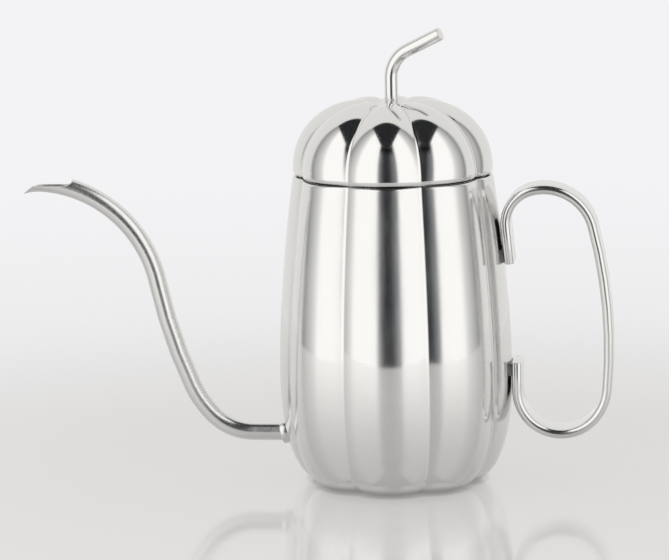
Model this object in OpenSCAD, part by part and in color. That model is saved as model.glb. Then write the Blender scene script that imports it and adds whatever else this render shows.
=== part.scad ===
// Gooseneck pour-over kettle: pumpkin-lobed steel body, lift-off lid with a bent stem,
// slim tube spout and a bent flat-bar handle. Millimetres.
// Origin: centre of the foot on the standing surface. +Z up, spout towards -X,
// handle towards +X.

/* [Body] */
// Number of lobes around the body and the lid
lobes = 8; // [6:2:12]
// Radius at the middle of a lobe where the body is widest
belly_r = 50.6; // [47:0.2:58]
// Height of the widest place
belly_z = 46; // [38:1:56]
// How far the body's side stands out beyond its top edge
rim_roll = 1; // [0.6:0.1:2]
// Height of the top edge of the body
rim_z = 134; // [120:1:160]
// Radius of the flat ring that the body stands on
foot_r = 33; // [31.5:0.5:38]
// Width of the flat ring between the foot and the opening in the floor
floor_ledge = 4; // [3.5:0.1:9]
// Sheet thickness of the body and the lid
wall = 0.8; // [0.6:0.1:1.1]
// Depth of the creases between lobes at the widest place
belly_groove = 3.2; // [1.5:0.1:4]
// Depth of the creases just under the mouth
rim_groove = 3; // [1.5:0.1:3.4]
// Depth of the creases at the foot
foot_groove = 1.6; // [0.5:0.1:2]
// Thickness of the base plate's flange
base_t = 1; // [0.8:0.1:1.5]
// How far the base plate overlaps the floor ring
base_lap = 2; // [1.5:0.1:2.4]

/* [Mouth] */
// Radius at the middle of a lobe of the body's top edge, also of the lid's lower edge
mouth_r = 42.4; // [40:0.1:45]
// Depth of the creases in those two edges
mouth_groove = 2.6; // [1.6:0.1:3]
// Height over which the body rolls in to its top edge
lip_h = 1.6; // [1.2:0.1:2.2]
// Least width of the flat, inward-turned lip, at its creases
lip_w = 0.4; // [0.3:0.1:1]
// Width of the seat from the lip to the mouth ring's bore
mouth_seat_w = 2.2; // [2:0.1:5]
// Sheet thickness of the mouth ring
ring_t = 0.9; // [0.7:0.1:1.2]
// Depth of the mouth ring's collar below its seat
collar_depth = 13; // [9:0.5:18]
// How far the seat lies below the body's top edge
seat_drop = 0.6; // [0.4:0.1:1]

/* [Spout] */
// Outer diameter of the spout tube
tube_d = 8; // [7:0.1:9]
// Wall thickness of the spout tube
tube_wall = 0.7; // [0.5:0.05:1]
// Height of the spout's axis where it leaves the body
spout_z = 20.4; // [17:0.2:30]
// Length of tube that reaches inside the body
spout_inside = 2; // [1.5:0.5:5]
// Straight run outside the body before the first bend
spout_run = 14.8; // [8:0.2:24]
// Radius of the first upward bend
elbow_r = 24.6; // [20:0.2:30]
// Angle of the first upward bend
elbow_angle = 45; // [40:1:50]
// Radius of the second, wider bend
knee_r = 43.4; // [35:0.2:55]
// Angle of the second, wider bend
knee_angle = 21.2; // [18:0.2:25]
// Radius of the long, nearly straight rise
rise_r = 215; // [180:5:260]
// Angle of the long, nearly straight rise
rise_angle = 12.8; // [10:0.2:15]
// Radius of the shoulder bend at the top
shoulder_r = 54.6; // [48:0.2:60]
// Angle of the shoulder bend at the top
shoulder_angle = 74.7; // [66:0.1:80]
// Radius of the drooping end
droop_r = 26.3; // [22:0.2:34]
// Angle of the drooping end
droop_angle = 28; // [25:0.5:35]
// How far the tip of the open beak lies beyond the start of the droop
beak_reach = 9.4; // [7:0.2:11]
// How far the tip lies below the start of the droop
beak_drop = 5.4; // [4:0.2:6.4]
// Length of the open beak, measured along X
beak_len = 22.6; // [16:0.2:26]
// How far the beak's rim lies below the tube's axis where the droop begins
beak_depth = 1.2; // [0.4:0.1:2]
// Length of the ramp at the beak's root
beak_ramp = 2.5; // [1:0.1:4]
// Height of the ramp at the beak's root
beak_step = 1.1; // [0.5:0.1:3]
// Radius of the beak's nose
beak_nose_r = 8; // [5:0.5:10]
// Outer diameter of the collar round the spout's root
collar_d = 10.2; // [9.6:0.1:12]
// Length of that collar
collar_len = 2.4; // [2:0.1:4]

/* [Handle] */
// Width of the handle bar, across the kettle
bar_w = 16.4; // [12:0.2:20]
// Thickness of the handle bar
bar_t = 4.2; // [3.6:0.1:5]
// Radius of the bar's rounded edges
bar_edge = 1.7; // [0.8:0.1:1.75]
// Height of the handle's upper end
upper_end_z = 96; // [85:1:105]
// Least gap between the bar and the body
bar_gap = 0.3; // [0.3:0.1:1.5]
// Straight length at the upper end
handle_lead_in = 16; // [12:0.5:20]
// Radius of the inner top bend
top_bend_r = 14.6; // [13:0.2:18]
// Slope of the bar between its two top bends
crown_slope = 15.5; // [8:0.5:22]
// Radius of the outer top bend
shoulder_bend_r = 21.4; // [18:0.2:26]
// Angle of the outer top bend
shoulder_bend_angle = 91; // [84:1:98]
// Radius of the long outer side
handle_side_r = 210; // [180:5:260]
// Angle of the long outer side
handle_side_angle = 19.5; // [16:0.5:22]
// Radius of the bend that leads into the bottom
heel_bend_r = 23.4; // [18:0.2:30]
// Angle of the bend that leads into the bottom
heel_bend_angle = 36; // [28:1:42]
// Angle of the bottom bend
bottom_bend_angle = 134.5; // [126:0.5:138]
// Radius of the last, slight bend
foot_bend_r = 27.7; // [15:0.1:40]
// Straight length at the lower end
handle_lead_out = 12; // [8:0.2:16]
// Height of each pad between the bar and the body
pad_h = 5.6; // [4:0.2:9]
// Width of each pad
pad_w = 13; // [8:0.5:14]
// Distance from each end of the bar to its pad
pad_inset = 0.6; // [0.2:0.1:2]

/* [Lid] */
// Gap between the body's top edge and the lid's lower edge
lid_gap = 0.8; // [0.5:0.1:1.2]
// How far the lid's lobes stand out beyond its lower edge
lid_tuck = 0.8; // [0.4:0.1:2]
// Height of the small tuck under the lid's lobes
lid_tuck_h = 2.6; // [2:0.1:4]
// Height of the lid from its lower edge to the top of its lobes
lid_h = 31.6; // [26:0.2:38]
// Radius of the circle on which the lobes are highest
lid_crest_r = 13; // [11:0.5:18]
// Depth of the dimple round the stem
lid_dimple = 2.3; // [1:0.1:4]
// Depth of the creases on the shoulder of the lid
lid_groove = 3.3; // [1.5:0.1:3.8]
// Depth of the creases where the lid is widest
tuck_groove = 3; // [1.8:0.1:3.2]
// Radius of the flat round the stem
lid_flat_r = 6.4; // [6:0.1:8]
// Radial clearance of the lid's skirt in the mouth ring
skirt_gap = 0.3; // [0.2:0.05:0.6]
// Depth of the lid's skirt below its seat
skirt_depth = 11; // [7:0.5:16]
// Sheet thickness of the lid's plug
plug_t = 0.8; // [0.6:0.1:1.1]
// How far the plug's riser reaches up inside the lid's edge
plug_rim_h = 2; // [1:0.1:2.4]

/* [Stem] */
// Diameter of the stem
stem_d = 5.7; // [4.8:0.1:7]
// Straight height of the stem above its washer
stem_h = 10.7; // [8:0.1:16]
// Radius of the stem's bend
stem_bend_r = 13.4; // [11:0.2:18]
// Angle of the stem's bend
stem_bend_angle = 64; // [40:1:80]
// Straight length after the bend
stem_reach = 17; // [10:0.2:24]
// Direction of the bend, seen from above, measured from +X
stem_turn = -16; // [-90:1:90]
// Diameter of the washer under the stem
washer_d = 7.4; // [6.6:0.2:12]
// Thickness of the washers
washer_t = 0.8; // [0.6:0.1:1.2]
// Diameter of the fixing screw's shank
screw_d = 4; // [3:0.5:4.4]
// Length of the screw's thread inside the stem
screw_grip = 8; // [5:0.5:9]
// Diameter of the screw's head
screw_head_d = 7.2; // [6:0.2:10]
// Height of the screw's head
screw_head_h = 2.4; // [1.6:0.1:3.5]
// Diameter of the washer inside the lid
inner_washer_d = 11; // [9:0.5:14]

/* [Hidden] */

steel = "silver";
dark_steel = "slategray";
$fn = 64;

// Gap that is left wherever a curved piece is seated on the lobed sheet
seat_gap = 0.25;
// Gap round a screw, a tube or a ring in its hole
fit_gap = 0.1;
// How far a cutting solid runs past what it cuts
over = 1;

// ---- lobed sheet -------------------------------------------------------------

// Points round each lobe, and how full the profiles are
lobe_steps = 8;
foot_power = 2.2;
side_power = 1.75;
dome_power = 2.05;
turns = [for (i = [0 : lobes * lobe_steps - 1]) i * 360 / (lobes * lobe_steps)];
half_lobe = 180 / lobes;

// 0 at the middle of a lobe, 1 in the crease
function lobe_share(a) =
    pow(abs((a + half_lobe) % (2 * half_lobe) - half_lobe) / half_lobe, 2);

rim_r = mouth_r + rim_roll;
lip_start_z = rim_z - lip_h;
lip_inner_r = mouth_r - mouth_groove - lip_w;

// Radius of the body's outside at the middle of a lobe
function side_r(z) =
    z < belly_z
        ? foot_r + (belly_r - foot_r)
            * pow(1 - pow(1 - z / belly_z, foot_power), 1 / foot_power)
        : belly_r - (belly_r - rim_r)
            * pow((z - belly_z) / (lip_start_z - belly_z), side_power);

// Crease depth of the body at a height
function side_groove(z) =
    z < belly_z
        ? belly_groove - (belly_groove - foot_groove) * pow(1 - z / belly_z, 2)
        : belly_groove - (belly_groove - rim_groove)
            * pow((z - belly_z) / (lip_start_z - belly_z), 2);

// Slope of the side from upright, in degrees, positive where the body widens upwards
function side_lean(z) = atan((side_r(z + over) - side_r(z - over)) / (2 * over));

// Radius of curvature of a lobe's middle, seen from above
half_lobe_rad = half_lobe * PI / 180;
function lobe_curve_r(z) =
    1 / (1 / side_r(z) + 2 * side_groove(z) / pow(half_lobe_rad * side_r(z), 2));

// A station is [radius, height, crease depth, level]. Its normal points out of the sheet.
// Its crease is pressed in level where level is true, and along the normal elsewhere.
function station_normal(s, i) =
    let (
        a = s[max(i - 1, 0)],
        b = s[min(i + 1, len(s) - 1)],
        dr = b[0] - a[0],
        dz = b[1] - a[1],
        size = sqrt(dr * dr + dz * dz)
    )
    [dz / size, -dr / size];

function ring_points(s, i, depth) =
    let (
        n = station_normal(s, i),
        way = s[i][3] ? [1, 0] : n
    )
    [for (a = turns)
        let (
            inset = s[i][2] * lobe_share(a),
            r = s[i][0] - n[0] * depth - way[0] * inset,
            z = s[i][1] - n[1] * depth - way[1] * inset
        )
        [r * cos(a), r * sin(a), z]];

// A solid skinned over rings of equal length. Closed: the last ring meets the first.
// Open: the first and last rings are capped.
module skin(rings, closed) {
    count = len(rings);
    steps = len(rings[0]);
    points = [for (ring = rings) each ring];
    sides = [
        for (k = [0 : count - (closed ? 1 : 2)], j = [0 : steps - 1])
            let (
                k2 = (k + 1) % count,
                j2 = (j + 1) % steps,
                a = k * steps + j,
                b = k * steps + j2,
                c = k2 * steps + j2,
                d = k2 * steps + j
            )
            each [[a, d, c], [a, c, b]]
    ];
    caps = closed ? [] : [
        [for (j = [0 : steps - 1]) j],
        [for (j = [steps - 1 : -1 : 0]) (count - 1) * steps + j]
    ];
    polyhedron(points = points, faces = concat(sides, caps), convexity = 8);
}

// A closed sheet: outer rings along the stations, then inner rings back
module lobed_sheet(s, depth) {
    last = len(s) - 1;
    skin(concat(
        [for (i = [0 : last]) ring_points(s, i, 0)],
        [for (i = [last : -1 : 0]) ring_points(s, i, depth)]
    ), true);
}

// ---- bent bars and tubes -------------------------------------------------------

// A path is a list of [length, angle]: angle 0 is a straight of that length, any other
// angle a bend of that radius, positive to the left. A pose is [x, z, heading].
function step_pose(p, seg) =
    seg[1] == 0
        ? [p[0] + seg[0] * cos(p[2]), p[1] + seg[0] * sin(p[2]), p[2]]
        : let (
            side = sign(seg[1]),
            cx = p[0] - side * seg[0] * sin(p[2]),
            cz = p[1] + side * seg[0] * cos(p[2]),
            h = p[2] + seg[1]
        )
        [cx + side * seg[0] * sin(h), cz - side * seg[0] * cos(h), h];

function poses(p, path, i = 0) =
    i == len(path) ? [p] : concat([p], poses(step_pose(p, path[i]), path, i + 1));

// The pose a share of the way along one segment
function pose_along(p, seg, share) =
    step_pose(p, seg[1] == 0 ? [seg[0] * share, 0] : [seg[0], seg[1] * share]);

// All the poses of a path, bends cut into short steps
bend_step = 5;
steps_per_bend = 6;
function fine_poses(p, path) =
    let (at = poses(p, path))
    concat([p], [
        for (i = [0 : len(path) - 1])
            let (
                seg = path[i],
                n = seg[1] == 0 ? 1 : max(steps_per_bend, ceil(abs(seg[1]) / bend_step))
            )
            for (k = [1 : n]) pose_along(at[i], seg, k / n)
    ]);

// A section is a list of [left, across] points, carried along the poses in the XZ plane
function section_ring(p, section) = [
    for (q = section) [p[0] - q[0] * sin(p[2]), q[1], p[1] + q[0] * cos(p[2])]
];

function round_section(r, n) = [for (i = [0 : n - 1]) [r * cos(i * 360 / n), r * sin(i * 360 / n)]];

module swept_bar(p, path, section) {
    skin([for (q = fine_poses(p, path)) section_ring(q, section)], false);
}

module swept_tube(p, path, r, thick, n) {
    along = fine_poses(p, path);
    last = len(along) - 1;
    skin(concat(
        [for (i = [0 : last]) section_ring(along[i], round_section(r, n))],
        [for (i = [last : -1 : 0]) section_ring(along[i], round_section(r - thick, n))]
    ), true);
}

// ---- body ------------------------------------------------------------------------

low_steps = 9;
high_steps = 9;
lip_steps = 3;

floor_hole_r = foot_r - floor_ledge;

body_stations = concat(
    [[floor_hole_r, 0, 0], [foot_r - base_lap, 0, 0]],
    [for (i = [0 : low_steps])
        let (
            a = 90 * i / low_steps,
            z = belly_z * (1 - pow(cos(a), 2 / foot_power)),
            r = foot_r + (belly_r - foot_r) * pow(sin(a), 2 / foot_power)
        )
        [r, z, side_groove(z)]],
    [for (i = [1 : high_steps])
        let (z = belly_z + (lip_start_z - belly_z) * i / high_steps)
        [side_r(z), z, side_groove(z)]],
    [for (i = [1 : lip_steps])
        let (a = 90 * i / lip_steps)
        [mouth_r + (rim_r - mouth_r) * cos(a), lip_start_z + lip_h * sin(a),
            mouth_groove + (rim_groove - mouth_groove) * cos(a), true]],
    [[lip_inner_r, rim_z, 0]]
);

module body_shell() {
    color(steel) difference() {
        lobed_sheet(body_stations, wall);
        // hole that the spout tube passes through
        translate([-belly_r - over, 0, spout_z]) rotate([0, 90, 0])
            cylinder(r = tube_d / 2 + fit_gap, h = belly_r - foot_r);
    }
}

// A pressed disc: its middle fills the opening, level with the foot, and its flange
// lies on the floor ring inside
module base_plate() {
    color(dark_steel) union() {
        cylinder(r = floor_hole_r - fit_gap, h = wall + base_t);
        translate([0, 0, wall]) cylinder(r = floor_hole_r + base_lap, h = base_t);
    }
}

// ---- mouth -------------------------------------------------------------------------

seat_z = rim_z - seat_drop;
mouth_bore_r = lip_inner_r - mouth_seat_w;

module mouth_ring() {
    color(steel) rotate_extrude() union() {
        translate([mouth_bore_r, seat_z - ring_t])
            square([lip_inner_r - seat_gap - mouth_bore_r, ring_t]);
        translate([mouth_bore_r, seat_z - collar_depth]) square([ring_t, collar_depth]);
    }
}

// ---- spout -------------------------------------------------------------------------

tube_r = tube_d / 2;
tube_sides = 24;
// Place on the wall where the spout's axis leaves the body
spout_x = -side_r(spout_z);
spout_start = [spout_x + wall + spout_inside, spout_z, 180];
spout_path = [
    [wall + spout_inside + spout_run, 0],
    [elbow_r, -elbow_angle],
    [knee_r, -knee_angle],
    [rise_r, -rise_angle],
    [shoulder_r, shoulder_angle],
    [droop_r, droop_angle]
];
spout_poses = poses(spout_start, spout_path);
droop_start = spout_poses[len(spout_path) - 1];

// The beak is the tube with its upper part ground away. Its outline is set out from
// the place where the droop begins.
beak_tip = [droop_start[0] - beak_reach, droop_start[1] - beak_drop];
beak_level = droop_start[1] - beak_depth;
beak_root_x = beak_tip[0] + beak_len;
beak_clear = 3 * tube_d;

module beak_cut() {
    translate([0, tube_d, 0]) rotate([90, 0, 0]) linear_extrude(height = 2 * tube_d)
        difference() {
            polygon([
                [beak_root_x, beak_level + beak_clear],
                [beak_root_x, beak_level + beak_step],
                [beak_root_x - beak_ramp, beak_level],
                [beak_tip[0] + beak_nose_r, beak_level],
                beak_tip,
                [beak_tip[0], beak_tip[1] - beak_clear],
                [beak_tip[0] - beak_clear, beak_tip[1] - beak_clear],
                [beak_tip[0] - beak_clear, beak_level + beak_clear]
            ]);
            // rounded nose that is left standing
            translate([beak_tip[0] + beak_nose_r, beak_level - beak_nose_r])
                circle(r = beak_nose_r);
        }
}

module spout_tube() {
    color(steel) difference() {
        swept_tube(spout_start, spout_path, tube_r, tube_wall, tube_sides);
        beak_cut();
    }
}

// Removes what lies inside a lobe's curve, leaving a seat that follows the wall
module wall_seat(z, height) {
    curve_r = lobe_curve_r(z);
    translate([side_r(z), 0, z]) rotate([0, side_lean(z), 0])
        translate([-curve_r, 0, -height])
            cylinder(r = curve_r + seat_gap, h = 2 * height, $fn = 240);
}

module spout_collar() {
    lean = side_lean(spout_z);
    color(steel) difference() {
        translate([spout_x, 0, spout_z]) rotate([0, 270 - lean, 0])
            translate([0, 0, -over]) cylinder(d = collar_d, h = collar_len + over);
        translate([spout_x - 2 * collar_d, 0, spout_z]) rotate([0, 90, 0])
            cylinder(r = tube_r + fit_gap / 2, h = 4 * collar_d);
        mirror([1, 0, 0]) wall_seat(spout_z, 2 * collar_d);
    }
}

// ---- handle --------------------------------------------------------------------------

handle_heading = 90 - side_lean(upper_end_z);
top_bend_angle = handle_heading - crown_slope;
upper_path = [
    [handle_lead_in, 0],
    [top_bend_r, -top_bend_angle],
    [shoulder_bend_r, -shoulder_bend_angle],
    [handle_side_r, -handle_side_angle],
    [heel_bend_r, -heel_bend_angle]
];
// The upper end leans with the wall and stands clear of it
loose_poses = poses([0, upper_end_z, handle_heading], upper_path);
handle_x = bar_t / 2 + bar_gap
    + max([for (i = [0, 1]) side_r(loose_poses[i][1]) - loose_poses[i][0]]);
handle_start = [handle_x, upper_end_z, handle_heading];
heel_pose = poses(handle_start, upper_path)[len(upper_path)];

// The lower end stands upright, clear of the belly. The bottom bend brings the bar back
// to it, and the last bend sets it upright, three quarters of a turn round.
lower_end_x = belly_r + bar_gap + bar_t / 2;
foot_heading = heel_pose[2] - bottom_bend_angle;
foot_bend_angle = foot_heading + 270;
foot_bend_shift = foot_bend_r * (sin(foot_heading) - 1);
bottom_bend_r = (heel_pose[0] + foot_bend_shift - lower_end_x)
    / (sin(foot_heading) - sin(heel_pose[2]));
handle_path = concat(upper_path, [
    [bottom_bend_r, -bottom_bend_angle],
    [foot_bend_r, -foot_bend_angle],
    [handle_lead_out, 0]
]);
handle_end = poses(handle_start, handle_path)[len(handle_path)];

// Section of the bar: a rectangle with rounded corners
corner_steps = 3;
bar_section = [
    for (q = [[1, 1, 0], [-1, 1, 90], [-1, -1, 180], [1, -1, 270]], k = [0 : corner_steps])
        let (a = q[2] + 90 * k / corner_steps)
        [q[0] * (bar_t / 2 - bar_edge) + bar_edge * cos(a),
            q[1] * (bar_w / 2 - bar_edge) + bar_edge * sin(a)]
];

module handle_bar() {
    color(steel) swept_bar(handle_start, handle_path, bar_section);
}

// A pad fills the space between the wall and the bar's flat side
module handle_pad(x, z, heading) {
    reach = 3 * bar_t;
    color(steel) difference() {
        translate([x, 0, z]) rotate([0, 90 - heading, 0])
            translate([-bar_t / 2 - reach, -pad_w / 2, 0]) cube([reach, pad_w, pad_h]);
        wall_seat(z, 2 * pad_h);
    }
}

// A pad near an end of the bar: from is how far along the bar's heading it starts
module end_pad(pose, from) {
    handle_pad(pose[0] + from * cos(pose[2]), pose[1] + from * sin(pose[2]), pose[2]);
}

module upper_handle_pad() {
    end_pad(handle_start, pad_inset);
}

module lower_handle_pad() {
    end_pad(handle_end, -pad_inset - pad_h);
}

// ---- lid -----------------------------------------------------------------------------

lid_r = mouth_r + lid_tuck;
lid_z = rim_z + lid_gap;
lid_wide_z = lid_z + lid_tuck_h;
lid_top_z = lid_z + lid_h;
lid_flat_z = lid_top_z - lid_dimple;
tuck_steps = 3;
dome_steps = 12;
dimple_steps = 4;
hole_r = screw_d / 2 + 3 * fit_gap;

// Crease depth on the dome: grows up to the shoulder, then fades towards the stem
dome_shoulder_angle = 30;
crest_fade = 0.45;
function dome_groove(a) =
    a < dome_shoulder_angle
        ? tuck_groove + (lid_groove - tuck_groove) * sin(90 * a / dome_shoulder_angle)
        : lid_groove * (1 - crest_fade
            * pow((a - dome_shoulder_angle) / (90 - dome_shoulder_angle), 2));

lid_stations = concat(
    [for (i = [0 : tuck_steps])
        let (a = 90 * i / tuck_steps)
        [mouth_r + (lid_r - mouth_r) * sin(a), lid_z + lid_tuck_h * (1 - cos(a)),
            mouth_groove + (tuck_groove - mouth_groove) * sin(a), true]],
    [for (i = [1 : dome_steps])
        let (a = 90 * i / dome_steps)
        [lid_crest_r + (lid_r - lid_crest_r) * pow(cos(a), 2 / dome_power),
            lid_wide_z + (lid_top_z - lid_wide_z) * pow(sin(a), 2 / dome_power),
            dome_groove(a)]],
    [for (i = [1 : dimple_steps])
        let (a = 90 * i / dimple_steps)
        [lid_crest_r - (lid_crest_r - lid_flat_r) * i / dimple_steps,
            lid_top_z - lid_dimple * pow(sin(a), 2),
            dome_groove(90) * pow(cos(a), 2)]],
    [[hole_r, lid_flat_z, 0]]
);

module lid_dome() {
    color(steel) lobed_sheet(lid_stations, wall);
}

// The plug is a stepped ring: a skirt, a seat, and a riser that passes the body's lip and
// is welded to the creases of the dome
skirt_r = mouth_bore_r - skirt_gap;
skirt_in_r = skirt_r - plug_t;
riser_r = min(lip_inner_r * cos(half_lobe / lobe_steps) - skirt_gap,
    mouth_r - mouth_groove - wall - seat_gap);
riser_top_z = lid_z + plug_rim_h;

module lid_plug() {
    color(steel) rotate_extrude() union() {
        translate([skirt_in_r, seat_z - skirt_depth]) square([plug_t, skirt_depth + plug_t]);
        translate([skirt_in_r, seat_z]) square([riser_r - skirt_in_r, plug_t]);
        translate([riser_r - plug_t, seat_z]) square([plug_t, riser_top_z - seat_z]);
    }
}

// ---- stem ------------------------------------------------------------------------------

stem_z = lid_flat_z + washer_t;
stem_path = [
    [stem_h, 0],
    [stem_bend_r, -stem_bend_angle],
    [stem_reach, 0]
];
screw_head_z = lid_flat_z - wall - washer_t;
slot_l = 4.4;
slot_w = 0.9;
slot_depth = 1.2;

module lid_stem() {
    color(steel) rotate(stem_turn) difference() {
        swept_bar([0, stem_z, 90], stem_path, round_section(stem_d / 2, tube_sides));
        // tapped hole for the fixing screw
        translate([0, 0, stem_z - over])
            cylinder(d = screw_d + fit_gap, h = screw_grip + 2 * over);
    }
}

module washer(d, z) {
    color(steel) translate([0, 0, z]) difference() {
        cylinder(d = d, h = washer_t);
        translate([0, 0, -over]) cylinder(r = hole_r, h = washer_t + 2 * over);
    }
}

module stem_washer() {
    washer(washer_d, lid_flat_z);
}

module inner_washer() {
    washer(inner_washer_d, screw_head_z);
}

module fixing_screw() {
    color(dark_steel) difference() {
        union() {
            translate([0, 0, screw_head_z - screw_head_h])
                cylinder(d = screw_head_d, h = screw_head_h);
            translate([0, 0, screw_head_z])
                cylinder(d = screw_d, h = stem_z + screw_grip - screw_head_z);
        }
        // cross slot
        for (a = [0, 90])
            translate([0, 0, screw_head_z - screw_head_h]) rotate(a)
                cube([slot_l, slot_w, 2 * slot_depth], center = true);
    }
}

body_shell();
base_plate();
mouth_ring();
spout_tube();
spout_collar();
handle_bar();
upper_handle_pad();
lower_handle_pad();
lid_dome();
lid_plug();
lid_stem();
stem_washer();
inner_washer();
fixing_screw();
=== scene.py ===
# %% [markdown]
# A gooseneck kettle in polished steel.
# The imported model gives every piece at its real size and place. This lesson dresses it:
# the pressed sheets, the bent tube and the bent bar are modelled again as smooth
# surfaces, because a mirror finish shows every facet, and the small turned pieces get
# rounded edges. The kettle's lengths are in millimetres, and MM turns them into metres.
# The camera's and the tabletop's are in metres.

# %% Load the frame
from math import acos, atan, atan2, cos, degrees, pi, radians, sin, sqrt

import bmesh
import bpy
from mathutils import Matrix, Vector


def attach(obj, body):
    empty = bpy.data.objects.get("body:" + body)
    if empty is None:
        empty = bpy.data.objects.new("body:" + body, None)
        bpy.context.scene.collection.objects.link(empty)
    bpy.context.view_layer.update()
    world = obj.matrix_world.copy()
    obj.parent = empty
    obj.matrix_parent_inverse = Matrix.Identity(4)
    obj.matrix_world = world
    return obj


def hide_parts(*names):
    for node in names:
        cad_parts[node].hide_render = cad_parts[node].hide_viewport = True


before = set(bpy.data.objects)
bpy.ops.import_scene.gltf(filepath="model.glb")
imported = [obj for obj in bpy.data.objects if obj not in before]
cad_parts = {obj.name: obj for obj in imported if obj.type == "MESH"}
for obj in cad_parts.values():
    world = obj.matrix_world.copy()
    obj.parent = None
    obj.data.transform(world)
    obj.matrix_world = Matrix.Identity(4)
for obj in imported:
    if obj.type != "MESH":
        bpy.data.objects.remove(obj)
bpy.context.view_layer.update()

MM = 0.001
print("nodes:", sorted(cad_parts))

# %% [markdown]
# The camera comes first. It stands about 1.4 metres away with a long lens, a little to
# the handle's side and above the lid, and looks slightly down. It is turned by three
# angles, as a head on a tripod is: pan, tilt and a small roll.

# %% Camera
camera_azimuth = radians(5.9)
camera_distance = 1.376
camera_height = 0.339
camera_pan = radians(1.08)
camera_tilt = radians(-10.33)
camera_roll = radians(-1.15)
camera_lens = 174.0


def add_camera():
    """A camera on its tripod: placed, then panned, tilted and rolled."""
    bpy.ops.object.camera_add()
    camera = bpy.context.object
    camera.name = "camera"
    place = Vector((sin(camera_azimuth), -cos(camera_azimuth), 0)) * camera_distance
    place.z = camera_height
    camera.matrix_world = (
        Matrix.Translation(place)
        @ Matrix.Rotation(camera_azimuth + camera_pan, 4, "Z")
        @ Matrix.Rotation(pi / 2 + camera_tilt, 4, "X")
        @ Matrix.Rotation(camera_roll, 4, "Z")
    )
    camera.data.lens = camera_lens
    camera.data.clip_end = 20
    bpy.context.scene.camera = camera
    return camera


camera = add_camera()
print("camera at", tuple(round(c, 3) for c in camera.location))

# %% [markdown]
# Blender's operators act on whatever is selected, so a few small helpers keep the
# selection plain: they select nothing, one whole piece, or the vertices of a piece that
# lie at a certain place. The last one leaves edit mode once a piece is shaped.

# %% Helpers for the selection


def start_clean():
    """Leaves edit mode and deselects everything."""
    if bpy.context.object and bpy.context.object.mode != "OBJECT":
        bpy.ops.object.mode_set(mode="OBJECT")
    bpy.ops.object.select_all(action="DESELECT")


def select_only(piece):
    """Selects one piece and nothing else."""
    start_clean()
    piece.select_set(True)
    bpy.context.view_layer.objects.active = piece


def edit(piece):
    """Opens one piece in edit mode, to work on its vertices."""
    select_only(piece)
    bpy.ops.object.mode_set(mode="EDIT")
    bpy.context.tool_settings.mesh_select_mode = (True, False, False)


def pick(piece, wanted):
    """Selects the vertices whose place, in millimetres, passes a test."""
    mesh = bmesh.from_edit_mesh(piece.data)
    for vert in mesh.verts:
        vert.select = wanted(vert.co / MM)
    mesh.select_flush_mode()
    bmesh.update_edit_mesh(piece.data)


def rest(piece, name):
    """Leaves edit mode and gives the piece its name, its place kept in its mesh."""
    bpy.ops.object.mode_set(mode="OBJECT")
    bpy.ops.object.transform_apply(location=True, rotation=True, scale=True)
    piece.name = name
    piece.data.name = name
    return piece


# %% [markdown]
# Most of a kettle is rings. A ring of vertices is extruded, moved up and scaled to the
# next radius, again and again, just as a potter pulls up a wall. This helper takes the
# selected ring through a list of (radius, height) stations.

# %% Raise a ring through stations


def raise_ring(stations):
    """Extrudes the selected ring from the first station through all the others."""
    for (r0, z0), (r1, z1) in zip(stations, stations[1:]):
        bpy.ops.mesh.extrude_region_move(
            TRANSFORM_OT_translate={"value": (0, 0, (z1 - z0) * MM)}
        )
        bpy.ops.transform.resize(value=(r1 / r0, r1 / r0, 1), center_override=(0, 0, 0))


# %% [markdown]
# A shape that is built up in steps needs each step done before the next, so a modifier
# is applied as soon as it is added. The second helper prints what came out of it.

# %% Helpers to finish and measure


def apply_modifier(piece, kind, **settings):
    """Adds one modifier with these settings and applies it."""
    select_only(piece)
    modifier = piece.modifiers.new(kind.title(), kind)
    for key, value in settings.items():
        setattr(modifier, key, value)
    bpy.ops.object.modifier_apply(modifier=modifier.name)


def count(piece):
    """Says how large a piece is, in faces and in millimetres."""
    size = [round(d / MM, 1) for d in piece.dimensions]
    print(f"{piece.name}: {len(piece.data.polygons)} faces, {size} mm")


# %% [markdown]
# The body is a pressed shell with eight lobes, like a tall pumpkin. Its side is half of
# a rounded oval below the belly and a slow taper above it, which ends in a rolled lip.
# Each lobe is a shallow arc between two creases, which run from the foot up to the lip.
# It could be sculpted or carved with Booleans, but the shape is exact: eight copies of
# one lobe. So only half a lobe is built, from a few columns of an arc, and the rest is a
# mirror image and seven turned copies.

# %% Sizes of the body
lobes = 8
half_lobe = pi / lobes
columns = 10

belly_r, belly_z = 50.6, 46.0
foot_r, floor_hole_r, base_lap = 33.0, 29.0, 2.0
rim_r, rim_z = 43.4, 134.0
mouth_r, lip_h, lip_w = 42.4, 1.6, 0.4
belly_groove, rim_groove, mouth_groove, foot_groove = 3.2, 3.0, 2.6, 1.6
lip_inner_r = mouth_r - mouth_groove - lip_w
sheet = 0.8
foot_power, side_power = 2.2, 1.75
lip_start_z = rim_z - lip_h


def side_r(z):
    """Radius of the body at the middle of a lobe."""
    if z < belly_z:
        return foot_r + (belly_r - foot_r) * (1 - (1 - z / belly_z) ** foot_power) ** (
            1 / foot_power
        )
    return belly_r - (belly_r - rim_r) * ((z - belly_z) / (lip_start_z - belly_z)) ** side_power


def side_groove(z):
    """Depth of the creases at a height."""
    if z < belly_z:
        return belly_groove - (belly_groove - foot_groove) * (1 - z / belly_z) ** 2
    return belly_groove - (belly_groove - rim_groove) * (
        (z - belly_z) / (lip_start_z - belly_z)
    ) ** 2


def side_lean(z):
    """Slope of the side from upright, positive where the body widens upwards."""
    return atan((side_r(z + 1) - side_r(z - 1)) / 2)


print("body", 2 * belly_r, "mm across at the belly and", 2 * rim_r, "mm at the mouth")

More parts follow.
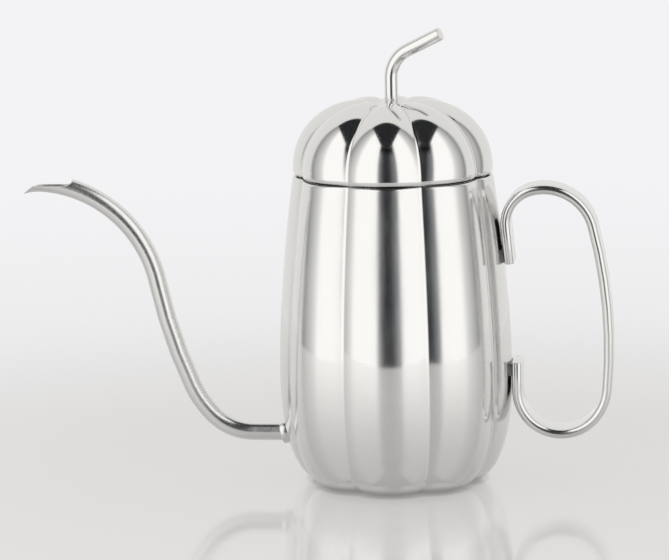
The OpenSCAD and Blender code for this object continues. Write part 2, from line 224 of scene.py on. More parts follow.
# %% [markdown]
# A station is a radius, a height and the depth of the crease there. The crease is pushed
# in along the profile's normal, so that it runs cleanly over the shoulder of the lid
# too. At a rim the normal tips over, so a station there is marked True and pushed in
# level. Every column of vertices takes its own share, a parabola that is nothing at the
# middle of the lobe and whole in the crease.

# %% Press the columns in
# two places nearer to each other than this, in millimetres, are the same place
close = 1e-3


def station_normal(stations, i):
    """The profile's outward normal at a station, from its two neighbours."""
    before, after = stations[max(i - 1, 0)], stations[min(i + 1, len(stations) - 1)]
    return Vector((after[1] - before[1], before[0] - after[0])).normalized()


def press_columns(piece, stations, i):
    """Moves each column of one ring in towards the axis by its share of the crease."""
    radius, height, groove, *level = stations[i]
    normal = Vector((1, 0)) if level else station_normal(stations, i)
    for column in range(1, columns + 1):
        angle = half_lobe * column / columns
        inset = groove * (column / columns) ** 2
        if inset == 0:
            continue
        scale = (radius - normal[0] * inset) / radius
        half_column = 0.5 * half_lobe / columns

        def in_column(co):
            """Whether a vertex is in this column and this ring."""
            return (
                abs(atan2(co.y, co.x) - angle) < half_column
                and abs(co.z - height) < close
                and abs(sqrt(co.x ** 2 + co.y ** 2) - radius) < close
            )

        pick(piece, in_column)
        bpy.ops.transform.resize(value=(scale, scale, 1), center_override=(0, 0, 0))
        bpy.ops.transform.translate(value=(0, 0, -normal[1] * inset * MM))


# %% [markdown]
# The helper below builds half a lobe: an arc of vertices is raised through the stations
# and pressed in. Mirror makes the other half, and Spin sets copies of the lobe round the
# axis. Where the copies meet they have doubled vertices, which are merged. A mirror or a
# spin can leave faces pointing inwards, so they are all turned outwards at the end.

# %% Helper for lobed shells


def lobed_shell(name, stations, crease=0.8):
    """A closed sheet with lobes, from stations of (radius, height, crease depth)."""
    start_clean()
    around = 2 * lobes * columns
    bpy.ops.mesh.primitive_circle_add(vertices=around, radius=stations[0][0] * MM)
    piece = bpy.context.object
    edit(piece)
    # keep only the arc from the middle of a lobe to its crease
    slack = 0.1 * half_lobe / columns
    pick(piece, lambda co: not -slack < atan2(co.y, co.x) < half_lobe + slack)
    bpy.ops.mesh.delete(type="VERT")
    bpy.ops.mesh.select_all(action="SELECT")
    bpy.ops.transform.translate(value=(0, 0, stations[0][1] * MM))
    raise_ring([s[:2] for s in stations])
    for i in range(len(stations)):
        press_columns(piece, stations, i)
    # the crease stays crisp when the surface is subdivided
    pick(piece, lambda co: abs(atan2(co.y, co.x) - half_lobe) < slack)
    bpy.ops.transform.edge_crease(value=crease)
    bpy.ops.object.mode_set(mode="OBJECT")
    apply_modifier(piece, "MIRROR", use_axis=(False, True, False), merge_threshold=1e-6)
    edit(piece)
    bpy.ops.mesh.select_all(action="SELECT")
    bpy.ops.mesh.spin(steps=lobes, angle=2 * pi, center=(0, 0, 0), axis=(0, 0, 1), dupli=True)
    bpy.ops.mesh.select_all(action="SELECT")
    bpy.ops.mesh.remove_doubles(threshold=5e-6)
    bpy.ops.mesh.select_all(action="SELECT")
    bpy.ops.mesh.normals_make_consistent(inside=False)
    rest(piece, name)
    return piece


# %% [markdown]
# The body's stations start at the hole in its floor. They cross the flat foot, go round
# the belly by equal angles, so that they lie closer where the curve is tighter, go up
# the side by equal heights and roll in over the lip by a quarter turn.

# %% Build the body
belly_rings, side_rings, lip_rings = 10, 10, 4


def body_stations():
    """From the hole in the floor over the foot, the belly and the side to the lip."""
    stations = [(floor_hole_r, 0.0, 0.0), (foot_r - base_lap, 0.0, 0.0)]
    for step in range(belly_rings + 1):
        a = radians(90 * step / belly_rings)
        z = belly_z * (1 - cos(a) ** (2 / foot_power)) if step < belly_rings else belly_z
        r = foot_r + (belly_r - foot_r) * sin(a) ** (2 / foot_power)
        stations.append((r, z, side_groove(z)))
    for step in range(1, side_rings + 1):
        z = belly_z + (lip_start_z - belly_z) * step / side_rings
        stations.append((side_r(z), z, side_groove(z)))
    for step in range(1, lip_rings + 1):
        a = radians(90 * step / lip_rings)
        stations.append((mouth_r + (rim_r - mouth_r) * cos(a),
                         lip_start_z + lip_h * sin(a),
                         mouth_groove + (rim_groove - mouth_groove) * cos(a), True))
    stations.append((lip_inner_r, rim_z, 0.0))
    return stations


body = lobed_shell("body", body_stations())
count(body)

# %% [markdown]
# The shell so far has no thickness. Solidify gives it the wall of a pressed sheet,
# grown inwards so that the outside stays where it is, and Subdivision Surface then
# rounds the facets away.

# %% Give a shell its wall


def give_wall(piece, thickness):
    """Thickens a sheet inwards. The inner side takes the piece's second material."""
    apply_modifier(piece, "SOLIDIFY", thickness=thickness * MM, offset=-1,
                   use_even_offset=True, use_quality_normals=True, material_offset=1,
                   material_offset_rim=0)


def smooth_out(piece, levels=1):
    """Subdivides a piece and shades it smoothly."""
    apply_modifier(piece, "SUBSURF", levels=levels, render_levels=levels)
    select_only(piece)
    bpy.ops.object.shade_smooth()


give_wall(body, sheet)
smooth_out(body)
count(body)

# %% [markdown]
# The lid is pressed with the same eight lobes, so that its lower edge follows the body's.
# It starts less than a millimetre above the body's lip, swells to its shoulder, rises to
# a ring of crests and falls to a small flat dimple that the stem stands in. Its creases
# are deepest at the shoulder and fade towards the crest.

# %% Sizes of the lid
lid_gap, lid_r, lid_tuck_h, lid_h = 0.8, 43.2, 2.6, 31.6
lid_crest_r, lid_dimple, lid_groove, lid_flat_r = 13.0, 2.3, 3.3, 6.4
tuck_groove, crest_fade, shoulder_angle = 3.0, 0.45, 30
tuck_rings, dome_rings, dimple_rings, round_r = 4, 15, 5, 4.0
dome_power = 2.05
stem_hole_r = 2.3
lid_z = rim_z + lid_gap
lid_wide_z = lid_z + lid_tuck_h
lid_top_z = lid_z + lid_h
lid_flat_z = lid_top_z - lid_dimple


def dome_groove(a):
    """Depth of the creases on the dome, by the angle up its curve."""
    if a < shoulder_angle:
        return tuck_groove + (lid_groove - tuck_groove) * sin(radians(90 * a / shoulder_angle))
    return lid_groove * (1 - crest_fade * ((a - shoulder_angle) / (90 - shoulder_angle)) ** 2)


print("lid from", round(lid_z, 1), "mm up to", round(lid_top_z, 1), "mm")

# %% [markdown]
# The lid is raised as the body is, with the same helper: from its lower edge round the
# tuck and over the dome by equal angles, then inwards to the hole for the screw.

# %% Build the lid


def lid_stations():
    """From the lower edge round the tuck and over the dome to the hole for the screw."""
    stations = []
    for step in range(tuck_rings + 1):
        a = radians(90 * step / tuck_rings)
        stations.append((mouth_r + (lid_r - mouth_r) * sin(a),
                         lid_z + lid_tuck_h * (1 - cos(a)),
                         mouth_groove + (tuck_groove - mouth_groove) * sin(a), True))
    for step in range(1, dome_rings + 1):
        a = 90 * step / dome_rings
        turn = radians(a)
        level = cos(turn) ** (2 / dome_power) if step < dome_rings else 0
        stations.append((lid_crest_r + (lid_r - lid_crest_r) * level,
                         lid_wide_z + (lid_top_z - lid_wide_z) * sin(turn) ** (2 / dome_power),
                         dome_groove(a)))
    for step in range(1, dimple_rings + 1):
        a = radians(90 * step / dimple_rings)
        stations.append((lid_crest_r - (lid_crest_r - lid_flat_r) * step / dimple_rings,
                         lid_top_z - lid_dimple * sin(a) ** 2, dome_groove(90) * cos(a) ** 2))
    stations.append((round_r, lid_flat_z, 0.0))
    stations.append((stem_hole_r, lid_flat_z, 0.0))
    return stations


lid = lobed_shell("lid", lid_stations())
give_wall(lid, sheet)
smooth_out(lid)
count(lid)

# %% [markdown]
# The spout is a slim tube, bent on a former. Each bend of such a tube is a true arc, so
# the Spin tool is the natural way: the ring at the end is spun round the centre of the
# bend, and straight runs are extruded. A pose is where the ring is and which way it
# heads, and the path lists straights as (length, 0) and bends as (radius, angle).

# %% Follow a path


def next_pose(pose, length, angle):
    """Where a pose comes to after one straight or bend."""
    x, z, heading = pose
    if angle == 0:
        return (x + length * cos(heading), z + length * sin(heading), heading)
    side = 1 if angle > 0 else -1
    turned = heading + radians(angle)
    cx, cz = x - side * length * sin(heading), z + side * length * cos(heading)
    return (cx + side * length * sin(turned), cz - side * length * cos(turned), turned)


def follow_path(pose, path, bend_step=4):
    """Takes the selected ring or face along straights and bends in the XZ plane."""
    for length, angle in path:
        x, z, heading = pose
        if angle == 0:
            move = (length * cos(heading) * MM, 0, length * sin(heading) * MM)
            bpy.ops.mesh.extrude_region_move(TRANSFORM_OT_translate={"value": move})
        else:
            side = 1 if angle > 0 else -1
            centre = (
                (x - side * length * sin(heading)) * MM,
                0,
                (z + side * length * cos(heading)) * MM,
            )
            bpy.ops.mesh.spin(
                steps=max(3, round(abs(angle) / bend_step)),
                angle=radians(angle),
                center=centre,
                axis=(0, 1, 0),
            )
        pose = next_pose(pose, length, angle)
    return pose


# %% [markdown]
# The spout leaves the wall low down, bends up, rises in a long easy S and droops at its
# end. Its first ring lies a little inside the body, so that the tube passes through the
# wall, where the real one is welded in.

# %% Bend the spout
tube_r, tube_wall, tube_sides = 4.0, 0.7, 40
spout_z, spout_inside, spout_run = 20.4, 2.0, 14.8
spout_start = (-side_r(spout_z) + sheet + spout_inside, spout_z, pi)
spout_path = [
    (sheet + spout_inside + spout_run, 0),
    (24.6, -45),
    (43.4, -21.2),
    (215, -12.8),
    (54.6, 74.7),
    (26.3, 28),
]


def ring_at(pose, radius, sides):
    """A ring of vertices at a pose, square to its heading."""
    start_clean()
    bpy.ops.mesh.primitive_circle_add(
        vertices=sides, radius=radius * MM, location=(pose[0] * MM, 0, pose[1] * MM),
        rotation=(0, pi / 2 - pose[2], 0),
    )
    piece = bpy.context.object
    bpy.ops.object.transform_apply(location=True, rotation=True, scale=True)
    return piece


spout = ring_at(spout_start, tube_r, tube_sides)
edit(spout)
bpy.ops.mesh.select_all(action="SELECT")
spout_end = follow_path(spout_start, spout_path)
bpy.ops.mesh.select_all(action="SELECT")
bpy.ops.mesh.normals_make_consistent(inside=False)
rest(spout, "spout")
print("spout ends at", [round(c, 1) for c in spout_end])
count(spout)

# %% [markdown]
# Solidify gives the tube its wall, grown inwards. It comes before the tip is cut, so that
# the ground edge shows the real thickness of the tube.

# %% Wall of the spout
give_wall(spout, tube_wall)
count(spout)

# %% [markdown]
# Not every piece is smooth all over: the ground beak, the ends of the bar and the turned
# rings have real edges. Shading by angle keeps an edge crisp where its two faces meet at
# more than a limit, and a narrow bevel eases it, as a file does, so that it catches a
# thin line of light.

# %% Helpers for crisp edges


def smooth_by_angle(piece, limit=40):
    """Shades a piece smoothly, but keeps edges sharper than the limit."""
    select_only(piece)
    bpy.ops.object.shade_smooth_by_angle(angle=radians(limit))


def soften(piece, width, segments=3, limit=40):
    """Rounds the sharp edges and shades the rest smoothly."""
    apply_modifier(piece, "BEVEL", width=width * MM, segments=segments,
                   limit_method="ANGLE", angle_limit=radians(limit))
    smooth_by_angle(piece, limit)


# %% [markdown]
# The tip of the spout is ground open. A grinding wheel leaves an outline as seen from the
# side, so the tool that takes the metal away is drawn as an outline too: one vertex,
# extruded from corner to corner, filled and given width.

# %% Helper for a grinding tool


def grinding_tool(name, outline, width):
    """A block with this outline of (x, z) corners, as wide as given along Y."""
    start_clean()
    bpy.ops.mesh.primitive_plane_add(size=MM)
    tool = bpy.context.object
    edit(tool)
    bpy.ops.mesh.select_all(action="SELECT")
    bpy.ops.mesh.merge(type="CENTER")
    x, z = outline[0]
    bpy.ops.transform.translate(value=(x * MM, -width / 2 * MM, z * MM))
    for (x0, z0), (x1, z1) in zip(outline, outline[1:]):
        bpy.ops.mesh.extrude_region_move(
            TRANSFORM_OT_translate={"value": ((x1 - x0) * MM, 0, (z1 - z0) * MM)}
        )
    bpy.ops.mesh.select_all(action="SELECT")
    bpy.ops.mesh.edge_face_add()
    bpy.ops.mesh.extrude_region_move(TRANSFORM_OT_translate={"value": (0, width * MM, 0)})
    bpy.ops.mesh.select_all(action="SELECT")
    bpy.ops.mesh.normals_make_consistent(inside=False)
    return rest(tool, name)


# %% [markdown]
# The upper part of the tube is taken off down to a level line, with a short ramp at the
# root and a rounded nose that falls to the lower lip. The tool is set there by the point
# where the spout starts to droop, and Boolean takes it away from the tube.

# %% Grind the beak
droop_start = spout_start
for length, angle in spout_path[:-1]:
    droop_start = next_pose(droop_start, length, angle)
beak_reach, beak_drop, beak_len = 9.4, 5.4, 22.6
beak_depth, beak_ramp, beak_step, beak_nose_r = 1.2, 2.5, 1.1, 8.0
beak_dull, nose_steps = 1.0, 8
tool_w, beak_clear = 16.0, 24.0
tip_x, tip_z = droop_start[0] - beak_reach, droop_start[1] - beak_drop
beak_level = droop_start[1] - beak_depth
beak_root_x = tip_x + beak_len

# the nose is an arc that ends where its tangent meets the tip
nose_rise = tip_z - (beak_level - beak_nose_r)
nose_turn = atan2(beak_nose_r, nose_rise) - acos(
    beak_nose_r / sqrt(beak_nose_r ** 2 + nose_rise ** 2)
)
nose = [
    (tip_x + beak_nose_r * (1 - sin(nose_turn * k / nose_steps)),
     beak_level - beak_nose_r * (1 - cos(nose_turn * k / nose_steps)))
    for k in range(nose_steps + 1)
]
# the last millimetre of the point is dulled, so that it doesn't scratch
dull_x = tip_x + beak_dull
dull_z = tip_z + (nose[-1][1] - tip_z) * (dull_x - tip_x) / (nose[-1][0] - tip_x)
tool = grinding_tool("tool", [
    (beak_root_x, beak_level + beak_clear), (beak_root_x, beak_level + beak_step),
    (beak_root_x - beak_ramp, beak_level), *nose, (dull_x, dull_z),
    (dull_x, tip_z - beak_clear), (tip_x - beak_clear, tip_z - beak_clear),
    (tip_x - beak_clear, beak_level + beak_clear),
], tool_w)
apply_modifier(spout, "BOOLEAN", object=tool, operation="DIFFERENCE", solver="EXACT")
bpy.data.objects.remove(tool)
smooth_by_angle(spout)
count(spout)

# %% [markdown]
# The handle is a flat bar with rounded edges, bent across its thickness, which is the
# easy way, into a tall hook. It starts at the wall below the mouth, rises along it, bends
# over to a long grip and hooks back up to the wall at the belly. Its path is a list of
# straights and bends, as the spout's is.

# %% Path of the handle
bar_w, bar_t, bar_edge, bar_gap = 16.4, 4.2, 2.05, 0.3
upper_end_z = 96.0
handle_heading = pi / 2 - side_lean(upper_end_z)
handle_start = (side_r(upper_end_z) + bar_gap + bar_t / 2, upper_end_z, handle_heading)
# the first bend leaves the bar rising at this angle, in degrees above level
brow_rise = 15.5
top_bend = degrees(handle_heading) - brow_rise
handle_path = [
    (16, 0),
    (14.6, -top_bend),
    (21.4, -91),
    (210, -19.5),
    (23.4, -36),
    (18.79, -134.5),
    (27.7, -4.5),
    (12, 0),
]
print("handle starts at x", round(handle_start[0], 1), "on a wall that leans",
      round(degrees(side_lean(upper_end_z)), 1), "degrees")

# %% [markdown]
# The bar starts as a plane the size of its section. A vertex bevel rounds the corners,
# and the face is then carried along the path. The ends are sawn square and eased.

# %% Bend the handle
start_clean()
bpy.ops.mesh.primitive_plane_add(size=1)
handle = bpy.context.object
edit(handle)
bpy.ops.mesh.select_all(action="SELECT")
bpy.ops.transform.resize(value=(bar_t * MM, bar_w * MM, 1), center_override=(0, 0, 0))
bpy.ops.mesh.bevel(offset=bar_edge * MM, segments=6, affect="VERTICES")
bpy.ops.object.mode_set(mode="OBJECT")
handle.rotation_euler = (0, pi / 2 - handle_heading, 0)
handle.location = (handle_start[0] * MM, 0, handle_start[1] * MM)
bpy.ops.object.transform_apply(location=True, rotation=True, scale=True)
edit(handle)
bpy.ops.mesh.select_all(action="SELECT")
handle_end = follow_path(handle_start, handle_path, bend_step=3)
bpy.ops.mesh.select_all(action="SELECT")
bpy.ops.mesh.normals_make_consistent(inside=False)
rest(handle, "handle")
soften(handle, width=0.35, limit=60)
print("handle ends at", [round(c, 1) for c in handle_end])
count(handle)

# %% [markdown]
# Two small pads join the bar to the body. Each is a block that reaches from the bar's
# flat side into the wall, with eased edges.

# %% Pads of the handle
pad_h, pad_w, pad_depth, pad_inset, pad_edge = 5.6, 13.0, 1.4, 0.6, 0.4


def pad(name, pose, start):
    """A block on the bar's inner side, from a distance along its heading."""
    middle, beside = start + pad_h / 2, bar_t / 2 + pad_depth / 2
    x = pose[0] + middle * cos(pose[2]) - beside * sin(pose[2])
    z = pose[1] + middle * sin(pose[2]) + beside * cos(pose[2])
    start_clean()
    bpy.ops.mesh.primitive_cube_add(size=1)
    piece = bpy.context.object
    edit(piece)
    bpy.ops.mesh.select_all(action="SELECT")
    bpy.ops.transform.resize(value=(pad_depth * MM, pad_w * MM, pad_h * MM),
                             center_override=(0, 0, 0))
    bpy.ops.mesh.bevel(offset=pad_edge * MM, segments=3, affect="EDGES")
    bpy.ops.object.mode_set(mode="OBJECT")
    piece.rotation_euler = (0, pi / 2 - pose[2], 0)
    piece.location = (x * MM, 0, z * MM)
    rest(piece, name)
    smooth_by_angle(piece)
    count(piece)
    return piece


upper_pad = pad("upper_pad", handle_start, pad_inset)
lower_pad = pad("lower_pad", handle_end, -pad_inset - pad_h)

# %% [markdown]
# The lid's knob is a pumpkin stem: a round bar, upright and then bent to one side. It is
# made as the spout is, in the XZ plane, closed at its end and then turned about the
# axis to its own direction.

# %% Stem
stem_r, washer_t = 2.85, 0.8
stem_turn = radians(-16)
stem_path = [(10.7, 0), (13.4, -64), (17, 0)]
stem_start = (0, lid_flat_z + washer_t, pi / 2)

stem = ring_at(stem_start, stem_r, sides=32)
edit(stem)
bpy.ops.mesh.select_all(action="SELECT")
follow_path(stem_start, stem_path)
bpy.ops.mesh.edge_face_add()
bpy.ops.mesh.select_all(action="SELECT")
bpy.ops.mesh.normals_make_consistent(inside=False)
bpy.ops.object.mode_set(mode="OBJECT")
stem.rotation_euler = (0, 0, stem_turn)
rest(stem, "stem")
soften(stem, width=0.3, limit=50)
count(stem)

# %% [markdown]
# The rings, washers and the lid's plug are turned or spun pieces: an outline of radii
# and heights goes once round the axis. The outline is closed, so its last ring is
# bridged to its first, and a bevel eases the corners.

# %% Helper for turned pieces


def turned(name, outline, edge, sides=96):
    """A closed outline of (radius, height) points, taken round the axis."""
    start_clean()
    bpy.ops.mesh.primitive_circle_add(
        vertices=sides, radius=outline[0][0] * MM, location=(0, 0, outline[0][1] * MM)
    )
    piece = bpy.context.object
    bpy.ops.object.transform_apply(location=True, rotation=True, scale=True)
    edit(piece)
    bpy.ops.mesh.select_all(action="SELECT")
    raise_ring(outline)
    first, last = outline[0], outline[-1]
    pick(piece, lambda co: min(
        abs(sqrt(co.x ** 2 + co.y ** 2) - r) + abs(co.z - z) for r, z in (first, last)
    ) < close)
    bpy.ops.mesh.bridge_edge_loops()
    bpy.ops.mesh.select_all(action="SELECT")
    bpy.ops.mesh.normals_make_consistent(inside=False)
    rest(piece, name)
    soften(piece, edge, segments=2)
    count(piece)
    return piece


# %% [markdown]
# The mouth ring lies inside the lip. Its flat top is the seat that the lid rests on, and
# its collar hangs down into the body and guides the lid's skirt.

# %% Mouth ring
mouth_seat_w, ring_t, collar_depth, seat_drop, seat_gap = 2.2, 0.9, 13.0, 0.6, 0.25
mouth_bore_r = lip_inner_r - mouth_seat_w
seat_z = rim_z - seat_drop
seat_out_r = lip_inner_r - seat_gap
mouth = turned("mouth", [
    (mouth_bore_r, seat_z), (mouth_bore_r, seat_z - collar_depth),
    (mouth_bore_r + ring_t, seat_z - collar_depth), (mouth_bore_r + ring_t, seat_z - ring_t),
    (seat_out_r, seat_z - ring_t), (seat_out_r, seat_z),
], edge=0.2)

# %% [markdown]
# The plug is the ring inside the lid. It is stepped: a flat seat that rests on the mouth
# ring, a skirt that hangs into its collar with a little play, and a riser that holds the
# edge of the dome.

# %% Plug of the lid
skirt_gap, skirt_depth, plug_t, plug_rim_h = 0.3, 11.0, 0.8, 2.0
skirt_r = mouth_bore_r - skirt_gap
riser_r = mouth_r - mouth_groove - sheet - seat_gap
riser_top_z = lid_z + plug_rim_h
plug = turned("plug", [
    (skirt_r - plug_t, seat_z + plug_t), (skirt_r - plug_t, seat_z - skirt_depth),
    (skirt_r, seat_z - skirt_depth), (skirt_r, seat_z), (riser_r, seat_z),
    (riser_r, riser_top_z), (riser_r - plug_t, riser_top_z), (riser_r - plug_t, seat_z + plug_t),
], edge=0.2)

# %% [markdown]
# A thin washer lies in the dimple of the lid, under the foot of the stem, so that the
# screw below can draw the stem down without marking the sheet.

# %% Washer of the stem
washer_r = 3.7
washer = turned("washer", [
    (stem_hole_r, lid_flat_z), (washer_r, lid_flat_z),
    (washer_r, lid_flat_z + washer_t), (stem_hole_r, lid_flat_z + washer_t),
], edge=0.25, sides=48)

# %% [markdown]
# The collar at the root of the spout is one more turned ring, laid over so that it lies
# on the wall, which leans there.

# %% Collar of the spout
collar_r, collar_len, collar_bury, collar_grip = 5.1, 2.4, 1.0, 0.1
collar = turned("collar", [
    (tube_r - collar_grip, -collar_bury), (collar_r, -collar_bury),
    (collar_r, collar_len), (tube_r - collar_grip, collar_len),
], edge=0.5, sides=48)
collar.rotation_euler = (0, -pi / 2 - side_lean(spout_z), 0)
collar.location = (-side_r(spout_z) * MM, 0, spout_z * MM)
select_only(collar)
bpy.ops.object.transform_apply(location=True, rotation=True, scale=True)
count(collar)

# %% [markdown]
# A material is a small network: textures feed ranges, and ranges feed the shader. The
# same few lines would add and join every node, so helpers do it: each input is given
# either a plain value or the output of another node.

# %% Helpers for node trees


def wire(tree, node, inputs):
    """Fills a node's inputs, each with a plain value or with another node's output."""
    for key, value in inputs.items():
        if isinstance(value, bpy.types.NodeSocket):
            tree.links.new(value, node.inputs[key])
        else:
            node.inputs[key].default_value = value


def add_node(tree, kind, inputs=None, **settings):
    """Adds a node with its settings and its inputs."""
    node = tree.nodes.new("ShaderNode" + kind)
    for key, value in settings.items():
        setattr(node, key, value)
    wire(tree, node, inputs or {})
    return node


def work_out(tree, operation, *values):
    """One sum on plain values and outputs."""
    node = add_node(tree, "Math", dict(enumerate(values)), operation=operation)
    return node.outputs["Value"]


def stretch(tree, value, ends, levels=(0, 1), curve="LINEAR"):
    """Takes a value from one range to another, and holds it at the ends."""
    return add_node(tree, "MapRange", {
        "Value": value, "From Min": ends[0], "From Max": ends[1],
        "To Min": levels[0], "To Max": levels[1],
    }, interpolation_type=curve).outputs["Result"]


def ease(tree, value, ends):
    """From 0 to 1 between two ends, slow at both."""
    return stretch(tree, value, ends, curve="SMOOTHSTEP")


def blend(tree, factor, a, b, kind="FLOAT"):
    """a where the factor is 0, b where it is 1."""
    node = add_node(tree, "Mix", {"Factor": factor, "A": a, "B": b}, data_type=kind)
    return node.outputs["Result"]


# %% [markdown]
# Polished stainless steel is a metal with a very low roughness, but never a perfect
# mirror. Four things make it real: fine polishing lines, faint clouds where the finish
# is a little duller, a slow waviness of the pressed sheet that bends the reflections,
# and the way the buffing wheel ran. The first three are noises on Object coordinates,
# so they stay on the metal whatever the view. The last is the Anisotropic input, with a
# tangent that lies level on the side: reflections smear sideways and stay sharp upwards.

# %% Steel
cloud_scale, wave_scale = (60, 60, 40), (70, 70, 22)
# a noise lies mostly between these two values
noise_ends = (0.3, 0.7)


def steel(name, tone, dull, line_scale, line_bump, wave_bump, around=0.0):
    """A metal with polishing lines, cloudy gloss and slightly wavy reflections.

    around is how far the finish smears reflections sideways, from 0 to 1.
    """
    material = bpy.data.materials.new(name)
    material.use_nodes = True
    tree = material.node_tree
    shader = tree.nodes["Principled BSDF"]
    place = add_node(tree, "TexCoord").outputs["Object"]

    def noise(scale, detail):
        """A noise on the metal, finer along the axes with a larger scale."""
        scaled = add_node(tree, "Mapping", {"Vector": place, "Scale": scale})
        return add_node(tree, "TexNoise", {
            "Vector": scaled.outputs["Vector"], "Scale": 1.0, "Detail": detail,
        }).outputs["Fac"]

    clouds, lines, waves = noise(cloud_scale, 4), noise(line_scale, 3), noise(wave_scale, 1)
    darker = [0.97 * c for c in tone]
    fine = add_node(tree, "Bump", {
        "Strength": line_bump, "Distance": 0.02 * MM, "Height": lines,
    })
    slow = add_node(tree, "Bump", {
        "Strength": wave_bump, "Distance": 0.1 * MM, "Height": waves,
        "Normal": fine.outputs["Normal"],
    })
    wire(tree, shader, {
        "Metallic": 1.0,
        "Base Color": blend(tree, clouds, (*darker, 1), (*tone, 1), "RGBA"),
        "Roughness": work_out(
            tree, "ADD", stretch(tree, clouds, noise_ends, (0.8 * dull, 1.25 * dull)),
            stretch(tree, lines, noise_ends, (-0.15 * dull, 0.15 * dull)),
        ),
        "Normal": slow.outputs["Normal"],
    })
    if around:
        tangent = add_node(tree, "VectorMath", {
            0: (0, 0, 1), 1: add_node(tree, "NewGeometry").outputs["Normal"],
        }, operation="CROSS_PRODUCT")
        wire(tree, shader, {"Anisotropic": around, "Tangent": tangent.outputs["Vector"]})
    return material


# %% [markdown]
# The kettle has several grades of the one steel. The body and the lid are buffed the
# most. The bar and the stem are polished by hand, and the bent tube a little less. The
# pads are dull steel painted dark, a painted shade for the gap between the bar and the
# wall. The inside is left as the sheet was rolled, and the base plate is left dull, as it came
# off the lathe.

# %% Finishes of the kettle
stainless = (0.80, 0.795, 0.785)
buffed = steel("buffed_steel", stainless, 0.10, (900, 900, 25), 0.05, 0.15, around=1.0)
polished = steel("polished_steel", stainless, 0.09, (900, 900, 60), 0.05, 0.15, around=0.8)
satin = steel("satin_steel", stainless, 0.24, (900, 900, 900), 0.03, 0.0)
bright = steel("bright_steel", stainless, 0.17, (900, 900, 900), 0.03, 0.0)
# the pads' dark tone is painted shade, for the gap between the bar and the wall
painted_shade_pad = steel("painted_shade_pad_steel", (0.22, 0.22, 0.215), 0.30, (900, 900, 900), 0.2, 0.0)
rolled = steel("rolled_steel", (0.62, 0.62, 0.61), 0.28, (2500, 2500, 30), 0.35, 0.2)
turned_steel = steel("turned_steel", (0.55, 0.55, 0.54), 0.30, (300, 300, 3000), 0.4, 0.0)
print("materials:", [m.name for m in bpy.data.materials])

# %% [markdown]
# Each piece now gets its finish and the body it moves with, and the imported node it
# stands for is hidden. Shells and the tube have two finishes: one for the outside, and one
# for the inside, which is what the second material slot is for.

# %% Dress the pieces


def dress(piece, materials, body_name, node):
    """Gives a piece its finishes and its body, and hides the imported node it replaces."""
    piece.data.materials.clear()
    for material in materials:
        piece.data.materials.append(material)
    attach(piece, body_name)
    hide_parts(node)


dress(body, [buffed, rolled], "kettle", "body_shell")
dress(spout, [satin, rolled], "kettle", "spout_tube")
dress(collar, [satin], "kettle", "spout_collar")
dress(handle, [bright], "kettle", "handle_bar")
dress(upper_pad, [painted_shade_pad], "kettle", "upper_handle_pad")
dress(lower_pad, [painted_shade_pad], "kettle", "lower_handle_pad")
dress(mouth, [rolled], "kettle", "mouth_ring")
dress(lid, [polished, rolled], "lid", "lid_dome")
dress(plug, [rolled], "lid", "lid_plug")
dress(stem, [bright], "lid", "lid_stem")
dress(washer, [bright], "lid", "stem_washer")

for node, material in (("base_plate", turned_steel), ("inner_washer", rolled),
                       ("fixing_screw", rolled)):
    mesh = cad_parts[node].data
    mesh.materials.clear()
    mesh.materials.append(material)
    print("finish on", node)

# %% [markdown]
# The floor is a glossy pale tabletop. Most of its tone is a painted glow from within,
# which weakens towards the back, and a painted contact shadow dims it where the foot comes
# close. A clear lacquer mirrors the kettle. Seen directly, the tabletop fades into the
# backdrop instead of ending in a line. In reflections it has a stronger lacquer and ends
# sharply, as a table does, so that the polished body shows the table below and the studio
# above. Its lengths are in metres, as its Object coordinates are.

# %% Tabletop
table_r, fade_ends = 0.48, (0.12, 0.42)
floor_tone = (0.145, 0.144, 0.143)
# the floor's painted glow, weaker from the front to the back between these places
floor_glow = (0.427, 0.418, 0.411)
glow_ends, glow_levels = (-0.25, 0.12), (1.08, 0.84)
# painted contact shadow: within this reach of the foot the glow falls to this level
contact_shadow_reach, contact_shadow_glow = 0.003, 0.5
lacquer_dull, lacquer_mirrored, lacquer_seen = 0.09, 1.9, 1.5


def tabletop():
    """The floor's material."""
    material = bpy.data.materials.new("tabletop")
    material.use_nodes = True
    tree = material.node_tree
    shader = tree.nodes["Principled BSDF"]
    seen = add_node(tree, "LightPath").outputs["Is Camera Ray"]
    place = add_node(tree, "TexCoord").outputs["Object"]
    back = add_node(tree, "SeparateXYZ", {"Vector": place}).outputs["Y"]
    # ambient occlusion paints a contact shadow into the glow
    painted_contact_shadow = add_node(tree, "AmbientOcclusion", {"Distance": contact_shadow_reach}).outputs["AO"]
    wire(tree, shader, {
        "Base Color": (*floor_tone, 1),
        "Roughness": lacquer_dull,
        "IOR": blend(tree, seen, lacquer_mirrored, lacquer_seen),
        "Emission Color": (*floor_glow, 1),
        "Emission Strength": work_out(
            tree, "MULTIPLY", stretch(tree, painted_contact_shadow, (0, 1), (contact_shadow_glow, 1)),
            stretch(tree, back, glow_ends, glow_levels),
        ),
    })
    reach = add_node(tree, "VectorMath", {0: place}, operation="LENGTH").outputs["Value"]
    past_edge = work_out(tree, "GREATER_THAN", reach, table_r)
    surface = add_node(tree, "MixShader", {
        0: blend(tree, seen, past_edge, ease(tree, reach, fade_ends)),
        1: shader.outputs["BSDF"],
        2: add_node(tree, "BsdfTransparent").outputs["BSDF"],
    })
    wire(tree, tree.nodes["Material Output"], {"Surface": surface.outputs["Shader"]})
    return material


# %% [markdown]
# The tabletop itself is a plain disc that the foot stands on, far wider than the view.

# %% Floor
floor_r = 3.0


def add_floor():
    """A disc level with the foot, in the tabletop's finish."""
    start_clean()
    bpy.ops.mesh.primitive_circle_add(vertices=128, radius=floor_r, fill_type="NGON")
    floor = bpy.context.object
    floor.name = "floor"
    floor.data.materials.append(tabletop())
    return floor


floor = add_floor()
print("floor", round(floor.dimensions.x, 2), "m across")

